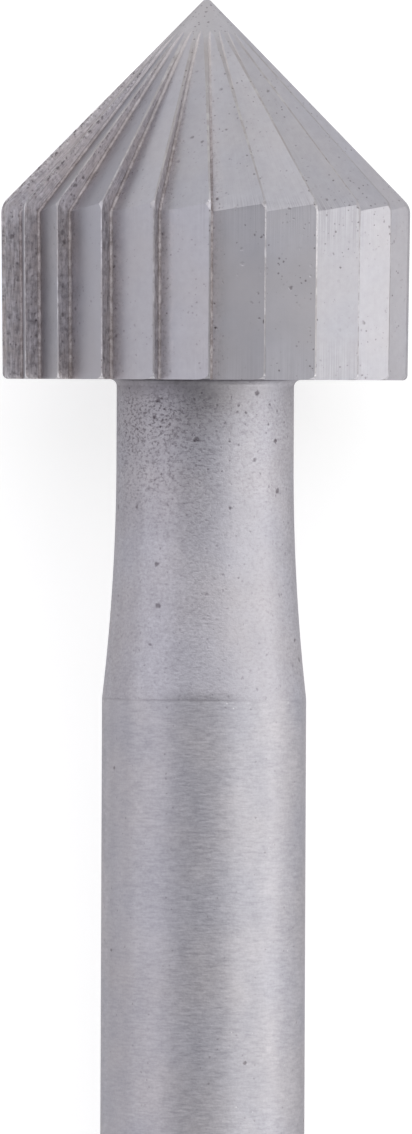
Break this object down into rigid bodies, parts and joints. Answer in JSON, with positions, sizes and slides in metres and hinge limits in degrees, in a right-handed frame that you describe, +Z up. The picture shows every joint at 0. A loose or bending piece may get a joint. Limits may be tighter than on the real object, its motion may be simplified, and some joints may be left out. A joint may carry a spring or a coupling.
{
  "type": "stone setting bur",
  "caption": "One-piece steel rotary cutter with a conical point over a short fluted side, a slim neck and a plain round shank, for seating stones in jewellery.",
  "frame": {"origin": "on the surface that the bur lies on, under the middle of its box", "axes": "+Y from the shank's end towards the point, +Z up, +X to the right seen from above with the point ahead"},
  "size_m": [0.0048, 0.0446, 0.0047],
  "materials": {
    "ground_steel": "ground satin steel, left bright"
  },
  "bodies": {
    "root": {"setting_bur": "ground_steel"}
  },
  "joints": []
}
